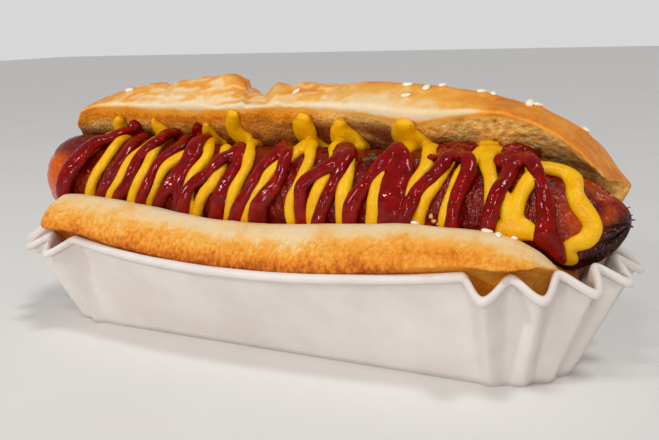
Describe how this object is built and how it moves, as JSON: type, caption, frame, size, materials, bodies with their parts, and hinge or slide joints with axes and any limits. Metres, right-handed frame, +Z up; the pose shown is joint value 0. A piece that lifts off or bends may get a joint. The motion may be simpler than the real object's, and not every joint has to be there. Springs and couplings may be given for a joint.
{
  "type": "hot dog",
  "caption": "Hot dog in a fluted white paper tray: hinged roll with seeds, grilled sausage under zigzags of mustard and ketchup.",
  "frame": {"origin": "on the table, under the middle of the paper tray", "axes": "+X along the hot dog, towards the sausage's browned puckered end; +Y towards the roll's tall half; -Y towards its open side; +Z up"},
  "size_m": [0.1768, 0.066, 0.0694],
  "materials": {
    "paper_tray": "matt white glassine-like paper",
    "roll": "baked crust, pale on top and golden brown below",
    "sausage": "wet, grilled, glossy"
  },
  "bodies": {
    "root": {"paper_tray": "paper_tray", "roll": "roll", "sausage": "sausage"}
  },
  "joints": []
}
